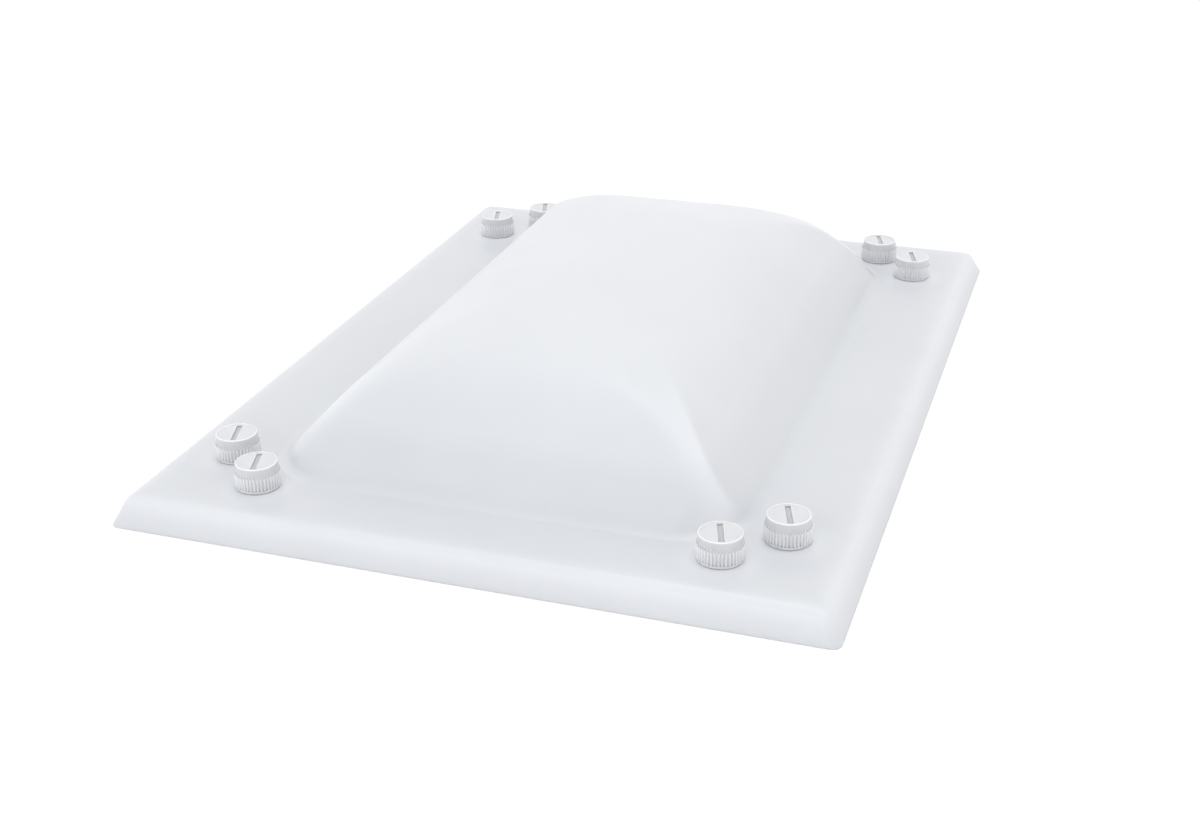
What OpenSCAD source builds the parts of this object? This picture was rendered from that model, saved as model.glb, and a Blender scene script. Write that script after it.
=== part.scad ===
// Opal dome rooflight: one formed skin with a splayed lip, a flat flange and a
// hipped dome, held by eight screws under ribbed screw caps, two at each corner.
// Millimetres, +Z up. X is the short side and Y the long side.
// Origin: middle of the plan, in the plane of the lip's lower edge.

/* [Skin] */
// Overall width across the lip's lower edge
outer_w = 595; // [560:5:720]
// Overall length across the lip's lower edge
outer_l = 795; // [760:5:960]
// Thickness of the formed sheet
skin_t = 3; // [2:0.5:4]

/* [Lip] */
// Height of the flange's top above the lip's lower edge
lip_h = 23; // [20:1:32]
// How far the lip splays outwards on its way down
lip_splay = 11; // [6:1:16]
// Outer radius of the crease between the flange and the lip
crease_r = 10; // [6:1:12]
// Plan radius of the lip's four corners
lip_corner_r = 8; // [6:1:20]

/* [Dome] */
// Plan distance from the lip's lower edge to the dome's foot, on the long sides
side_flange = 87.5; // [84:0.5:110]
// Plan distance from the lip's lower edge to the dome's foot, on the short ends
end_flange = 71.5; // [70:0.5:100]
// Height of the dome's crown above the flange's top
dome_rise = 100; // [85:1:125]
// Angle of the straight part of the dome's flanks
flank_angle = 46.5; // [40:0.5:52]
// Angle at which the shoulder runs into the crown
crown_angle = 15; // [8:0.5:20]
// Outer radius of the hollow at the dome's foot
foot_r = 18; // [10:1:24]
// Outer radius of the shoulder between flank and crown
shoulder_r = 125; // [90:1:140]
// Plan gap between the rims of the fixings and the dome's foot, which sets the foot's corners
foot_gap = 4.7; // [2:0.1:8]
// Plan radius of the hips on the straight part of the flanks
hip_r = 20; // [12:1:40]
// Extra plan radius that the hips gain towards the crown
crown_corner_r = 70; // [20:1:100]

/* [Fixing places] */
// Distance from the nearer lip edge to a fixing's axis
fixing_edge = 62; // [56:0.5:66]
// Distance from the farther lip edge of the same corner to a fixing's axis
fixing_corner = 104; // [100:0.5:120]
// Diameter of the oversize hole that lets the skin move round a screw
skin_hole_d = 10; // [8:0.5:12]

/* [Screw] */
// Diameter of the screw's thread
shank_d = 5; // [4:0.5:6]
// How far the plain shank under the head stays inside the thread
thread_step = 0.3; // [0.2:0.05:0.5]
// Gap between the skin's underside and the thread's top
thread_start = 0.6; // [0.4:0.1:2]
// Diameter of the screw's head
head_d = 11; // [9:0.5:12]
// Height of the screw's head
head_h = 3.6; // [2.5:0.1:4.5]
// Length of the screw's point
point_len = 5; // [3:0.5:6]
// Height of the screw's point above the lip's lower edge
point_gap = 3; // [2:0.5:6]
// Width across the wings of the cross recess
recess_w = 6; // [4:0.5:6.5]
// Width of one wing of the cross recess
recess_wing = 1.3; // [1:0.1:1.8]
// Depth of the cross recess
recess_depth = 2.2; // [1.5:0.1:2.4]

/* [Seal washer] */
// Width of the base's rim that shows round the seal washer
washer_margin = 3.2; // [2:0.2:6]
// Thickness of the seal washer
washer_t = 1.6; // [1.2:0.1:2.5]
// Height by which the washer holds the cap's base off the skin
washer_proud = 0.6; // [0.4:0.1:0.9]

/* [Cap base] */
// How far the base's rim stays inside the cap's ribs
base_step = 0.6; // [0.2:0.1:1.2]
// Thickness of the base's rim
base_rim_t = 1.8; // [1.6:0.1:2.6]
// Thickness of the seat under the screw's head
seat_t = 3.4; // [2.6:0.2:4]
// Outer diameter of the base's neck, over its plain thread
neck_d = 28; // [25:0.5:34]
// Thickness of the neck's wall
neck_wall = 3.2; // [2:0.2:4]
// Height of the neck's top above the skin
neck_h = 16.8; // [14:0.2:20]

/* [Cap] */
// Thickness of the cap's wall between its ribs
cap_wall = 3.34; // [2.5:0.1:4]
// Thickness of the cap's roof at its rim
roof_t = 3.8; // [3.1:0.1:5]
// How far the ribs stand out from the cap's wall
rib_out = 1.4; // [0.6:0.1:2]
// Number of ribs round the cap
rib_count = 40; // [24:2:52]
// Height of the plain part above the ribs
plain_h = 7; // [4:0.2:9]
// Height of the ribs' sloping tops
rib_slope_h = 1.6; // [0.8:0.1:3]
// How much the plain part narrows on each side
top_taper = 0.3; // [0.1:0.1:0.6]
// Chamfer round the cap's top
top_chamfer = 0.5; // [0.2:0.1:0.8]
// Width of the raised rim round the top
rim_w = 1.1; // [0.8:0.1:2]
// Depth of the sunk disc inside the rim
rim_depth = 0.7; // [0.4:0.1:1]
// Width of the coin slot
slot_w = 4.6; // [3:0.2:6]
// Depth of the coin slot below the sunk disc
slot_depth = 1.4; // [1:0.1:1.6]
// Distance from the slot's end to the rim
slot_end_gap = 2; // [1:0.5:6]
// Turn of the slots from the long direction when the caps are screwed home
slot_turn = 17.5; // [0:0.5:90]
// Thickness of the sealing liner under the cap's roof
liner_t = 1.4; // [1:0.1:1.8]
// Radial gap of the cap on the neck's plain thread
thread_gap = 0.06; // [0.03:0.01:0.1]

/* [Hidden] */
$fn = 64;
CORNERS = [["front_left", -1, -1], ["front_right", 1, -1], ["back_left", -1, 1], ["back_right", 1, 1]];
SIDES = ["end", "side"];
PLACES = [for (corner = CORNERS) for (side = SIDES) str(corner[0], "_", side)];
KINDS = ["seal_washer", "cap_base", "screw", "cap_liner", "cap"];

half_w = outer_w / 2;
half_l = outer_l / 2;
dome_half_w = half_w - side_flange;
dome_half_l = half_l - end_flange;

// Lip section: a straight splayed wall and the crease's arc, which meets the flange level.
lip_angle = atan2(lip_h, lip_splay);
crease_inset = lip_splay + crease_r * tan(lip_angle / 2);
CREASE_STEPS = 5;

// Fixing diameters, from the neck outwards.
cap_bore_d = neck_d + 2 * thread_gap;
cap_body_d = cap_bore_d + 2 * cap_wall;
cap_d = cap_body_d + 2 * rib_out;
cap_top_d = cap_body_d - 2 * top_taper;
disc_d = cap_top_d - 2 * rim_w;
slot_l = disc_d - 2 * slot_end_gap;
base_d = cap_d - 2 * base_step;
washer_d = base_d - 2 * washer_margin;
neck_bore_d = neck_d - 2 * neck_wall;
shank_gap = 0.4;
liner_gap = 0.8;

// The foot's corner radius at which a fixing at the plan offset [x, y] from the dome's sharp corner
// keeps foot_gap between its rim and the foot.
function clear_radius(x, y) = let (reach = cap_d / 2 + foot_gap, lead = reach - x - y)
    lead + sqrt(max(0, lead * lead - x * x - y * y + reach * reach));
foot_corner_r = max(
    hip_r,
    clear_radius(side_flange - fixing_corner, end_flange - fixing_edge),
    clear_radius(side_flange - fixing_edge, end_flange - fixing_corner)
);

// Dome section: foot arc, straight flank, shoulder arc and crown arc, each tangent to the next.
FOOT_START = 12;
FOOT_STEPS = 4;
SHOULDER_STEPS = 8;
CROWN_STEPS = 7;
CORNER_STEPS = 9;
// Part of the way to the middle at which the crown's last ring closes
CROWN_END = 0.94;
flank_foot = foot_point(flank_angle);
crown_tan = tan(crown_angle / 2);
shoulder_gain = shoulder_r * (cos(crown_angle) - cos(flank_angle));
shoulder_run = shoulder_r * (sin(flank_angle) - sin(crown_angle));
crown_room = dome_half_w - flank_foot[0] + flank_foot[1] / tan(flank_angle) - shoulder_run;
flank_top_rise = (dome_rise - shoulder_gain - crown_room * crown_tan) / (1 - crown_tan / tan(flank_angle));
flank_top_inset = flank_foot[0] + (flank_top_rise - flank_foot[1]) / tan(flank_angle);
crown_start = shoulder_point(crown_angle);
crown_span = dome_half_w - crown_start[0];
crown_r = crown_span / sin(crown_angle);

// Fixing heights above the skin's top.
base_bottom = washer_proud;
base_rim_top = base_bottom + base_rim_t;
seat_h = washer_t + seat_t;
head_top = seat_h + head_h;
cap_roof = neck_h + liner_t;
cap_h = cap_roof + roof_t;
rib_top_h = cap_h - plain_h;

// Points of the dome's section, each as inset from the foot, rise above the flange and slope.
function foot_point(slope) = [foot_r * sin(slope), foot_r * (1 - cos(slope)), slope];
function shoulder_point(slope) = [
    flank_top_inset + shoulder_r * (sin(flank_angle) - sin(slope)),
    flank_top_rise + shoulder_r * (cos(slope) - cos(flank_angle)),
    slope
];
function crown_point(way) = let (slope = asin(sin(crown_angle) * (1 - way))) [
    crown_start[0] + crown_span * way,
    crown_start[1] + crown_r * (cos(slope) - cos(crown_angle)),
    slope
];
dome_section = concat(
    [for (i = [0:FOOT_STEPS]) foot_point(FOOT_START + (flank_angle - FOOT_START) * i / FOOT_STEPS)],
    [for (i = [0:SHOULDER_STEPS]) shoulder_point(flank_angle + (crown_angle - flank_angle) * i / SHOULDER_STEPS)],
    [for (i = [1:CROWN_STEPS]) crown_point(CROWN_END * i / CROWN_STEPS)]
);

// Plan radius of the dome's corner: wide at the foot, tight on the flank, wide again at the crown.
function corner_radius(rise) = let (part = rise / dome_rise)
    hip_r + (foot_corner_r - hip_r) * pow(1 - part, 6) + crown_corner_r * pow(part, 5);

// Extra pull of the ends towards the middle, which closes the crown to a point and not to a ridge.
function end_pull(inset) = let (way = max(0, inset - crown_start[0]) / crown_span)
    (dome_half_l - dome_half_w) * pow(way, 3);

// One level ring: a rectangle of the given half sizes with round corners.
function ring(half_x, half_y, radius, z) = let (r = min(radius, 0.98 * min(half_x, half_y)))
    [for (quarter = [0:3]) for (i = [0:CORNER_STEPS])
        let (
            turn = 90 * (quarter + i / CORNER_STEPS),
            side_x = (quarter == 0 || quarter == 3) ? 1 : -1,
            side_y = (quarter < 2) ? 1 : -1
        )
        [side_x * (half_x - r) + r * cos(turn), side_y * (half_y - r) + r * sin(turn), z]];

// Rings of the lip's wall and crease, at a depth into the sheet of 0 (outside) or skin_t (inside).
function lip_rings(depth) = let (corner_r = lip_corner_r - depth * 0.6) concat(
    [let (inset = depth / sin(lip_angle)) ring(half_w - inset, half_l - inset, corner_r, 0)],
    [for (i = [0:CREASE_STEPS]) let (
            slope = lip_angle * (1 - i / CREASE_STEPS),
            r = crease_r - depth,
            inset = crease_inset - r * sin(slope)
        )
        ring(half_w - inset, half_l - inset, corner_r, lip_h - crease_r + r * cos(slope))]
);

// Rings of the dome at the same depths. The flange is the flat band between lip and dome.
function dome_rings(depth) = concat(
    [ring(dome_half_w, dome_half_l, foot_corner_r, lip_h - depth)],
    [for (point = dome_section) let (
            shift = depth * sin(point[2]),
            inset = point[0] + shift,
            z = lip_h + point[1] - depth * cos(point[2])
        )
        ring(dome_half_w - inset, dome_half_l - inset - end_pull(point[0]),
            max(corner_radius(point[1]) - shift, 2), z)]
);

function backwards(list) = [for (i = [len(list) - 1:-1:0]) list[i]];

// Where one fixing stands: the end fixing is nearer the short end, the side one nearer the long side.
function place_spot(corner, side) = side == "end"
    ? [corner[1] * (half_w - fixing_corner), corner[2] * (half_l - fixing_edge)]
    : [corner[1] * (half_w - fixing_edge), corner[2] * (half_l - fixing_corner)];
SPOTS = [for (corner = CORNERS) for (side = SIDES) place_spot(corner, side)];

module at_fixing(i) {
    translate([SPOTS[i][0], SPOTS[i][1], lip_h]) children();
}

module formed_sheet() {
    outside = concat(lip_rings(0), dome_rings(0));
    inside = backwards(concat(lip_rings(skin_t), dome_rings(skin_t)));
    rings = concat(outside, inside);
    size = len(rings[0]);
    last = len(outside) - 1;
    band_starts = [for (k = [0:len(rings) - 1]) if (k != last) k];
    walls = [for (k = band_starts) for (j = [0:size - 1])
        let (
            next_ring = (k + 1) % len(rings),
            a = k * size + j,
            b = k * size + (j + 1) % size,
            c = next_ring * size + (j + 1) % size,
            d = next_ring * size + j
        )
        each [[a, c, b], [a, d, c]]];
    crown_outside = backwards([for (j = [0:size - 1]) last * size + j]);
    crown_inside = [for (j = [0:size - 1]) (last + 1) * size + j];
    polyhedron(points = [for (level = rings) each level], faces = concat(walls, [crown_outside, crown_inside]));
}

module dome_skin() {
    color([0.90, 0.91, 0.93])
    difference() {
        formed_sheet();
        for (i = [0:len(SPOTS) - 1])
            at_fixing(i)
                translate([0, 0, -skin_t - 1]) cylinder(d = skin_hole_d, h = skin_t + 2);
    }
}

module seal_washer() {
    color([0.16, 0.16, 0.17])
    difference() {
        cylinder(d = washer_d, h = washer_t);
        translate([0, 0, -1]) cylinder(d = shank_d + 2 * shank_gap, h = washer_t + 2);
    }
}

module cap_base() {
    color([0.80, 0.81, 0.83])
    difference() {
        union() {
            translate([0, 0, base_bottom]) cylinder(d = base_d, h = base_rim_t);
            translate([0, 0, base_bottom]) cylinder(d = neck_d, h = neck_h - base_bottom);
        }
        translate([0, 0, base_bottom - 1]) cylinder(d = washer_d, h = washer_t - base_bottom + 1);
        translate([0, 0, base_bottom]) cylinder(d = shank_d + 2 * shank_gap, h = neck_h);
        translate([0, 0, seat_h]) cylinder(d = neck_bore_d, h = neck_h);
    }
}

module screw() {
    point_z = point_gap - lip_h;
    point_top = point_z + point_len;
    thread_top = -skin_t - thread_start;
    color([0.72, 0.73, 0.75])
    difference() {
        union() {
            translate([0, 0, seat_h]) cylinder(d = head_d, h = head_h);
            translate([0, 0, thread_top]) cylinder(d = shank_d - 2 * thread_step, h = seat_h - thread_top);
            translate([0, 0, point_top]) cylinder(d = shank_d, h = thread_top - point_top);
            translate([0, 0, point_z]) cylinder(d1 = 0.6, d2 = shank_d, h = point_len);
        }
        for (turn = [0, 90])
            rotate(turn)
                translate([-recess_w / 2, -recess_wing / 2, head_top - recess_depth])
                    cube([recess_w, recess_wing, recess_depth + 1]);
    }
}

module cap_liner() {
    color([0.30, 0.30, 0.31])
    translate([0, 0, neck_h]) cylinder(d = neck_d - 2 * liner_gap, h = liner_t);
}

// Cap outline over its ribs. The ribs' ends lie a little outside the cap, for rib_envelope to trim.
module ribbed_outline() {
    low = cap_body_d / 2;
    high = low + rib_out + 0.5;
    pitch = 360 / rib_count;
    polygon([for (i = [0:rib_count - 1]) for (corner = [[0.05, low], [0.15, high], [0.45, high], [0.55, low]])
        [corner[1] * cos(pitch * (i + corner[0])), corner[1] * sin(pitch * (i + corner[0]))]]);
}

// Round outside of the ribs, with their sloping tops.
module rib_envelope() {
    straight_h = rib_top_h - rib_slope_h - base_rim_top;
    cylinder(d = cap_d, h = straight_h);
    translate([0, 0, straight_h]) cylinder(d1 = cap_d, d2 = cap_body_d + 0.3, h = rib_slope_h);
}

module cap() {
    floor_h = cap_h - rim_depth;
    color([0.84, 0.85, 0.87])
    rotate(slot_turn)
    difference() {
        union() {
            translate([0, 0, base_rim_top])
                intersection() {
                    linear_extrude(rib_top_h - base_rim_top) ribbed_outline();
                    rib_envelope();
                }
            translate([0, 0, rib_top_h])
                cylinder(d1 = cap_body_d, d2 = cap_top_d, h = plain_h - top_chamfer);
            translate([0, 0, cap_h - top_chamfer])
                cylinder(d1 = cap_top_d, d2 = cap_top_d - 2 * top_chamfer, h = top_chamfer);
        }
        translate([0, 0, base_rim_top - 1]) cylinder(d = cap_bore_d, h = cap_roof - base_rim_top + 1);
        translate([0, 0, floor_h]) cylinder(d = disc_d, h = rim_depth + 1);
        translate([-slot_w / 2, -slot_l / 2, floor_h - slot_depth]) cube([slot_w, slot_l, slot_depth + 1]);
    }
}

dome_skin();
for (i = [0:len(PLACES) - 1]) {
    at_fixing(i) seal_washer();
    at_fixing(i) cap_base();
    at_fixing(i) screw();
    at_fixing(i) cap_liner();
    at_fixing(i) cap();
}
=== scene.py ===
"""Opal dome rooflight: one formed acrylic skin, held down by screws under ribbed screw caps.

Each sub-assembly is a class that keeps its sizes as fields in metres, builds its own meshes and
dresses them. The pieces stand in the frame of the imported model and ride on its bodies.
"""

import json
import logging
from dataclasses import dataclass
from enum import Enum
from math import asin, atan2, cos, degrees, exp, hypot, pi, radians, sin, tan
from typing import Any, Callable, Iterator, Sequence

import bmesh
import bpy
from mathutils import Matrix, Vector

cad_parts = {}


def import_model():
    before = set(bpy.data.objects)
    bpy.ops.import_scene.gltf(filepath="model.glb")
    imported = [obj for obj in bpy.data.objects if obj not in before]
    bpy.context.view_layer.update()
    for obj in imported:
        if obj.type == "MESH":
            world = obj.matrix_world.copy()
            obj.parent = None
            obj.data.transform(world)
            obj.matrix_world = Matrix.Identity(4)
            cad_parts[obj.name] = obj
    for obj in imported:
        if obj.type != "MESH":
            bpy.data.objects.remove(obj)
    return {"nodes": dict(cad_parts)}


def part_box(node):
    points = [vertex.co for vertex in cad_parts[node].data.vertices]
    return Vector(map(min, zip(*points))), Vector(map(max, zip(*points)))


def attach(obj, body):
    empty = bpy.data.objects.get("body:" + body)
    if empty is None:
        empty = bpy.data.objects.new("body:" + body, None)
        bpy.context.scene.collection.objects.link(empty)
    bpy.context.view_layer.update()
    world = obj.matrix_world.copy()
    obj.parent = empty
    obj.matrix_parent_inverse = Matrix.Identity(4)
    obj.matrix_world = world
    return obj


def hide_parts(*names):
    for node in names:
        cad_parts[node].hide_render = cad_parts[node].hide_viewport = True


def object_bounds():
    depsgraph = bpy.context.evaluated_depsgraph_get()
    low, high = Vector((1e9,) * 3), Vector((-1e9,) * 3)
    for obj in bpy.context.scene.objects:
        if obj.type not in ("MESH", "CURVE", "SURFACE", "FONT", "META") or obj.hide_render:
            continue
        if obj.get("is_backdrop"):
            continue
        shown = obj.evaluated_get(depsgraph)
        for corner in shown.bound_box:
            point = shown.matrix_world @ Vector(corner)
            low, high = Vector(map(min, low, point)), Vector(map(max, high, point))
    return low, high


frame: dict[str, Any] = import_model()

MM = 0.001
SAME_LEVEL = 0.05 * MM
ON_AXIS = 0.1 * MM
TIGHTEST_CORNER = 2 * MM
THREAD_STEPS = 48
THREAD_FOOT = 0.35
log = logging.getLogger("rooflight")

PointTest = Callable[[Vector], bool]
EdgeTest = Callable[[Vector, Vector], bool]
FaceTest = Callable[[Vector, Vector], bool]


# --------------------------------------------------------------------------------------------
# Bench: edit-mode work on one mesh
# --------------------------------------------------------------------------------------------


class Part(Enum):
    """The kinds of mesh part that a selection is made of."""

    POINT = "VERT"
    EDGE = "EDGE"
    FACE = "FACE"


def clear_bench() -> None:
    """Leaves object mode set and nothing selected."""
    if bpy.context.object and bpy.context.object.mode != "OBJECT":
        bpy.ops.object.mode_set(mode="OBJECT")
    bpy.ops.object.select_all(action="DESELECT")


def reach(point: Vector) -> float:
    """Returns how far a point lies from the Z axis."""
    return hypot(point.x, point.y)


def ease(value: float, low: float, high: float) -> float:
    """Returns a soft step from 0 at low to 1 at high."""
    way = min(1.0, max(0.0, (value - low) / (high - low)))
    return way * way * (3 - 2 * way)


def bell(value: float, width: float) -> float:
    """Returns a soft hump of height 1 around zero."""
    return exp(-((value / width) ** 2))


class Bench:
    """One mesh object on the bench, with its parts chosen by their place or direction."""

    def __init__(self, name: str) -> None:
        """Takes the primitive that was just added.

        Args:
            name: Name for the object and its mesh.
        """
        self.thing: bpy.types.Object = bpy.context.object
        self.thing.name = name
        self.thing.data.name = name
        bpy.ops.object.transform_apply(location=True, rotation=True, scale=True)

    @classmethod
    def round_bar(
        cls,
        name: str,
        sides: int,
        radius: float,
        low: float,
        high: float,
        turn: float = 0,
    ) -> "Bench":
        """Starts from an upright round bar on the Z axis.

        Args:
            name: Name of the piece.
            sides: Number of flats round the bar.
            radius: Radius of the bar.
            low: Height of the lower end.
            high: Height of the upper end.
            turn: Turn about the bar's own axis.

        Returns:
            The bench with the bar on it.
        """
        clear_bench()
        bpy.ops.mesh.primitive_cone_add(
            vertices=sides,
            radius1=radius,
            radius2=radius,
            depth=high - low,
            location=(0, 0, (low + high) / 2),
            rotation=(0, 0, turn),
        )
        return cls(name)

    @classmethod
    def block(cls, name: str, size: Vector, middle: Vector, turn: float = 0) -> "Bench":
        """Starts from a block.

        Args:
            name: Name of the piece.
            size: Full size along each axis.
            middle: Place of the block's middle.
            turn: Turn about the upright axis through its middle.

        Returns:
            The bench with the block on it.
        """
        clear_bench()
        bpy.ops.mesh.primitive_cube_add(size=1, location=middle, rotation=(0, 0, turn), scale=size)
        return cls(name)

    def edit(self) -> None:
        """Goes into edit mode on this piece."""
        clear_bench()
        bpy.context.view_layer.objects.active = self.thing
        self.thing.select_set(True)
        bpy.ops.object.mode_set(mode="EDIT")

    def leave(self) -> None:
        """Goes back to object mode with this piece active and selected."""
        clear_bench()
        bpy.context.view_layer.objects.active = self.thing
        self.thing.select_set(True)

    def _mesh(self, part: Part) -> bmesh.types.BMesh:
        """Returns the edit mesh with nothing selected and the asked kind of part in use."""
        if self.thing.mode != "EDIT":
            self.edit()
        bpy.ops.mesh.select_mode(type=part.value)
        bpy.ops.mesh.select_all(action="DESELECT")
        return bmesh.from_edit_mesh(self.thing.data)

    def pick_faces(self, test: FaceTest) -> None:
        """Selects the faces whose middle and normal pass a test.

        Args:
            test: Called with each face's middle and normal.
        """
        mesh = self._mesh(Part.FACE)
        picked = [face for face in mesh.faces if test(face.calc_center_median(), face.normal)]
        for face in picked:
            face.select_set(True)
        bmesh.update_edit_mesh(self.thing.data)

    def pick_edges(self, test: EdgeTest) -> None:
        """Selects the edges whose two ends pass a test.

        Args:
            test: Called with both ends of each edge.
        """
        mesh = self._mesh(Part.EDGE)
        picked = [edge for edge in mesh.edges if test(edge.verts[0].co, edge.verts[1].co)]
        for edge in picked:
            edge.select_set(True)
        bmesh.update_edit_mesh(self.thing.data)

    def pick_points(self, test: PointTest) -> None:
        """Selects the points that pass a test.

        Args:
            test: Called with each point.
        """
        mesh = self._mesh(Part.POINT)
        picked = [point for point in mesh.verts if test(point.co)]
        for point in picked:
            point.select_set(True)
        mesh.select_flush_mode()
        bmesh.update_edit_mesh(self.thing.data)

    def pick_level(self, height: float, up: bool = True, within: float | None = None) -> None:
        """Selects the level faces at a height.

        Args:
            height: Height of the faces.
            up: Whether they face up or down.
            within: Greatest distance of their middle from the Z axis, or None for any.
        """
        self.pick_faces(
            lambda middle, normal: abs(middle.z - height) < SAME_LEVEL
            and (normal.z > 0.9) == up
            and (within is None or reach(middle) < within)
        )

    def inset(self, width: float) -> None:
        """Insets the picked faces by a width."""
        bpy.ops.mesh.inset(thickness=width, depth=0, use_even_offset=True)

    def pull(self, rise: float) -> None:
        """Extrudes the picked faces along Z."""
        bpy.ops.mesh.extrude_region_move(TRANSFORM_OT_translate={"value": (0, 0, rise)})

    def grow(self, x: float, y: float, z: float, middle: Vector | None = None) -> None:
        """Scales the picked parts about a point, the origin unless one is given."""
        bpy.ops.transform.resize(value=(x, y, z), center_override=middle or Vector())

    def slice_level(self, height: float) -> None:
        """Cuts a level row of edges into the whole piece."""
        self._mesh(Part.FACE)
        bpy.ops.mesh.select_all(action="SELECT")
        bpy.ops.mesh.bisect(plane_co=(0, 0, height), plane_no=(0, 0, 1))

    def through_hole(self, low: float, high: float, radius: float, old_radius: Sequence[float]) -> None:
        """Makes a round hole between two level round faces that look away from each other.

        Args:
            low: Height of the lower face, which faces down.
            high: Height of the upper face, which faces up.
            radius: Radius of the hole.
            old_radius: Radii of the lower and the upper face.
        """
        for height, up, old in ((low, False, old_radius[0]), (high, True, old_radius[1])):
            self.pick_level(height, up, ON_AXIS)
            self.inset(old - radius)
        self.pick_faces(
            lambda middle, normal: reach(middle) < ON_AXIS
            and min(abs(middle.z - low), abs(middle.z - high)) < SAME_LEVEL
        )
        bpy.ops.mesh.bridge_edge_loops()

    def modify(self, kind: str, **settings: Any) -> None:
        """Adds a modifier, sets it and applies it.

        Args:
            kind: Blender's name for the modifier's type.
            **settings: Values for the modifier's properties.
        """
        self.leave()
        bpy.ops.object.modifier_add(type=kind)
        modifier = self.thing.modifiers[-1]
        for key, value in settings.items():
            setattr(modifier, key, value)
        bpy.ops.object.modifier_apply(modifier=modifier.name)

    def combine(self, other: "Bench", how: str) -> None:
        """Cuts another piece away from this one or joins it on, and uses the other one up.

        Args:
            other: The piece to take away or to add.
            how: DIFFERENCE or UNION.
        """
        self.modify("BOOLEAN", operation=how, object=other.thing, solver="MANIFOLD")
        clear_bench()
        other.thing.select_set(True)
        bpy.ops.object.delete()

    def round_edges(self, width: float, steps: int = 2, corner: float = radians(35)) -> None:
        """Rounds every edge that is sharper than a corner angle.

        Args:
            width: Width of the rounding.
            steps: Number of facets across it.
            corner: Smallest angle that counts as an edge.
        """
        self.modify(
            "BEVEL",
            width=width,
            segments=steps,
            limit_method="ANGLE",
            angle_limit=corner,
            use_clamp_overlap=True,
        )

    def close_ends(self) -> None:
        """Fills every open end of the piece."""
        self._mesh(Part.EDGE)
        bpy.ops.mesh.select_non_manifold(use_multi_face=False, use_verts=False)
        bpy.ops.mesh.fill_holes(sides=0)

    def face_outwards(self) -> None:
        """Merges doubled points and turns every face outwards."""
        self._mesh(Part.FACE)
        bpy.ops.mesh.select_all(action="SELECT")
        bpy.ops.mesh.remove_doubles(threshold=0.002 * MM)
        bpy.ops.mesh.normals_make_consistent(inside=False)

    def finish(self, smooth: float = radians(32)) -> bpy.types.Object:
        """Smooths the piece between its sharp edges.

        Args:
            smooth: Largest angle that is shaded as smooth.

        Returns:
            The finished object, at the origin.
        """
        self.leave()
        bpy.ops.object.shade_smooth_by_angle(angle=smooth)
        return self.thing


def thread_ridge(
    name: str,
    core: float,
    crest: float,
    width: float,
    low: float,
    turns: float,
    pitch: float,
) -> Bench:
    """Makes a screw thread's ridge, whose foot lies inside the core.

    Args:
        name: Name of the ridge.
        core: Radius of the ridge's foot.
        crest: Radius of its crest.
        width: Height of the ridge's foot.
        low: Height of its lower end.
        turns: Number of turns.
        pitch: Rise of one turn.

    Returns:
        The bench with the closed ridge.
    """
    clear_bench()
    depth = crest - core
    steps = int(THREAD_STEPS * turns)
    middle = Vector(((core + crest) / 2, 0, low))
    bpy.ops.mesh.primitive_circle_add(
        vertices=4, radius=0.5, fill_type="NOTHING", location=middle, rotation=(pi / 2, 0, 0)
    )
    bench = Bench(name)
    bench.pick_points(lambda point: True)
    bench.grow(depth, 1, width, middle)
    bench.pick_points(lambda point: abs(point.x - middle.x) < SAME_LEVEL)
    bpy.ops.transform.translate(value=(-THREAD_FOOT * depth, 0, 0))
    bench.modify(
        "SCREW",
        angle=2 * pi * turns,
        screw_offset=pitch * turns,
        steps=steps,
        render_steps=steps,
        use_merge_vertices=False,
        use_smooth_shade=True,
    )
    bench.close_ends()
    bench.face_outwards()
    return bench


# --------------------------------------------------------------------------------------------
# Finishes: shader boards and the materials on them
# --------------------------------------------------------------------------------------------


# Sockets of a Mix node that is set to colour.
MIX_MASK, MIX_UNDER, MIX_HIGH, MIX_COLOUR = 0, 6, 7, 2


class Signal:
    """A shader socket's number, which takes part in plain arithmetic."""

    def __init__(self, board: "Board", socket: bpy.types.NodeSocket) -> None:
        """Wraps one output socket of a board."""
        self.board = board
        self.socket = socket

    def _sum(self, how: str, first: Any, second: Any) -> "Signal":
        """Adds one Math node.

        Args:
            how: The node's operation.
            first: First number or signal.
            second: Second number or signal.

        Returns:
            The node's result.
        """
        return self.board.node("ShaderNodeMath", {"operation": how}, {0: first, 1: second})

    def __add__(self, other: Any) -> "Signal":
        """Returns self + other."""
        return self._sum("ADD", self, other)

    def __radd__(self, other: Any) -> "Signal":
        """Returns other + self."""
        return self._sum("ADD", other, self)

    def __sub__(self, other: Any) -> "Signal":
        """Returns self - other."""
        return self._sum("SUBTRACT", self, other)

    def __rsub__(self, other: Any) -> "Signal":
        """Returns other - self."""
        return self._sum("SUBTRACT", other, self)

    def __mul__(self, other: Any) -> "Signal":
        """Returns self * other."""
        return self._sum("MULTIPLY", self, other)

    def __rmul__(self, other: Any) -> "Signal":
        """Returns other * self."""
        return self._sum("MULTIPLY", other, self)


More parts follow.
